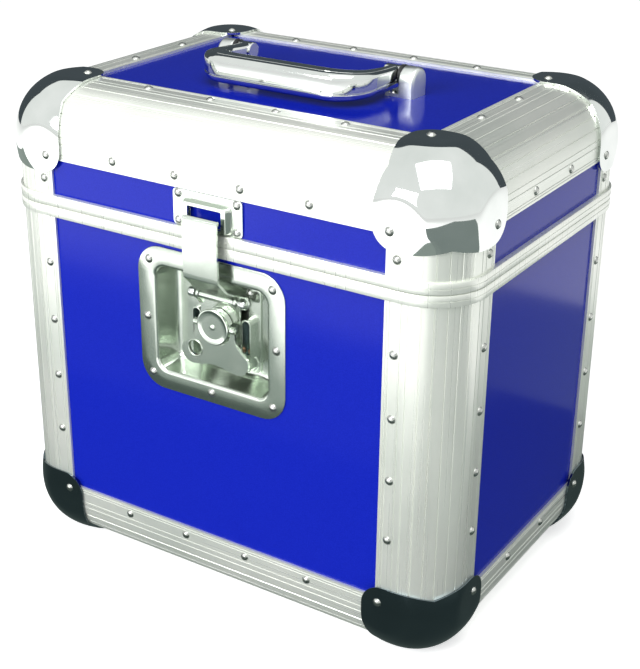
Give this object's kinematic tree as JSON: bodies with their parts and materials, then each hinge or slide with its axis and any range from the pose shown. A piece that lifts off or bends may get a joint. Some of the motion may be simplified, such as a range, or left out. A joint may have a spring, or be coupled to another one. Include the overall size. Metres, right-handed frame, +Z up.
{
  "type": "record carrying case",
  "caption": "Upright carrying case for records: blue panels in rounded aluminium edge extrusions, ball corners, hinged lid, recessed twist latch and fold-down handle.",
  "frame": {"origin": "centre of the footprint, on the surface that the base corners stand on", "axes": "+Z up, +X to the right seen from the front, +Y from the latch side to the hinge side"},
  "size_m": [0.3876, 0.2955, 0.395],
  "materials": {
    "bare_plywood": "plain",
    "blue_laminate": "glossy laminate",
    "aluminium_extrusion": "satin anodised",
    "dark_corner": "dark nickel",
    "chrome_corner": "polished",
    "rivet_steel": "plated",
    "foam": "closed-cell foam",
    "dark_washer": "moulded",
    "chrome_handle": "polished",
    "plated_hinge": "plated",
    "plated_latch": "bright zinc plated"
  },
  "bodies": {
    "case_body": {"base_panel": "bare_plywood", "front_panel": "blue_laminate", "back_panel": "blue_laminate", "left_panel": "blue_laminate", "right_panel": "blue_laminate", "post_front_left": "aluminium_extrusion", "post_front_right": "aluminium_extrusion", "post_back_left": "aluminium_extrusion", "post_back_right": "aluminium_extrusion", "base_edge_front": "aluminium_extrusion", "base_edge_back": "aluminium_extrusion", "base_edge_left": "aluminium_extrusion", "base_edge_right": "aluminium_extrusion", "body_rim": "aluminium_extrusion", "base_corner_front_left": "dark_corner", "base_corner_front_right": "dark_corner", "base_corner_back_left": "dark_corner", "base_corner_back_right": "dark_corner", "body_rivets": "rivet_steel", "base_pad": "foam", "latch_dish": "plated_latch", "dish_rivets": "rivet_steel", "latch_frame": "plated_latch", "guide_channels": "plated_latch", "hinge_lower_leaves": "plated_hinge", "hinge_pins": "plated_hinge"},
    "lid": {"top_panel": "blue_laminate", "lid_front_panel": "blue_laminate", "lid_back_panel": "blue_laminate", "lid_left_panel": "blue_laminate", "lid_right_panel": "blue_laminate", "lid_post_front_left": "aluminium_extrusion", "lid_post_front_right": "aluminium_extrusion", "lid_post_back_left": "aluminium_extrusion", "lid_post_back_right": "aluminium_extrusion", "top_edge_front": "aluminium_extrusion", "top_edge_back": "aluminium_extrusion", "top_edge_left": "aluminium_extrusion", "top_edge_right": "aluminium_extrusion", "lid_rim": "aluminium_extrusion", "top_corner_front_left": "chrome_corner", "top_corner_front_right": "chrome_corner", "top_corner_back_left": "chrome_corner", "top_corner_back_right": "chrome_corner", "lid_rivets": "rivet_steel", "lid_pad": "foam", "keeper_plate": "plated_latch", "keeper_rivets": "rivet_steel", "handle_mounts": "chrome_handle", "handle_pins": "chrome_handle", "handle_washers": "dark_washer", "hinge_upper_leaves": "plated_hinge"},
    "handle": {"handle_bail": "chrome_handle"},
    "rotor": {"latch_rotor": "plated_latch", "hub_cap": "plated_latch", "wing_pins": "plated_latch"},
    "wing": {"latch_wing": "plated_latch"},
    "slider": {"drawbar": "plated_latch", "drawbar_shaft": "plated_latch"},
    "hook": {"catch_hook": "plated_latch"}
  },
  "joints": [
    {"name": "lid_hinge", "type": "hinge", "parent": "case_body", "child": "lid", "pos_m": [0, 0.1441, 0.2867], "axis": [-1, 0, 0], "range_deg": [0, 105]},
    {"name": "handle_fold", "type": "hinge", "parent": "lid", "child": "handle", "pos_m": [0, 0, 0.385], "axis": [-1, 0, 0], "range_deg": [0, 180]},
    {"name": "latch_turn", "type": "hinge", "parent": "case_body", "child": "rotor", "pos_m": [0, -0.1289, 0.223], "axis": [0, 1, 0], "range_deg": [0, 180]},
    {"name": "wing_fold", "type": "hinge", "parent": "rotor", "child": "wing", "pos_m": [0, -0.1313, 0.223], "axis": [-1, 0, 0], "range_deg": [0, 180]},
    {"name": "drawbar_slide", "type": "slide", "parent": "case_body", "child": "slider", "axis": [0, 0.7071, -0.7071], "range_m": [0, 0.00509]},
    {"name": "hook_swing", "type": "hinge", "parent": "slider", "child": "hook", "pos_m": [0, -0.1269, 0.243], "axis": [1, 0, 0], "range_deg": [0, 25]}
  ],
  "couplings": [
    {"joint": "wing_fold", "follows": "latch_turn", "ratio": 1},
    {"joint": "drawbar_slide", "follows": "latch_turn", "m_per_rad": 0.00162}
  ]
}
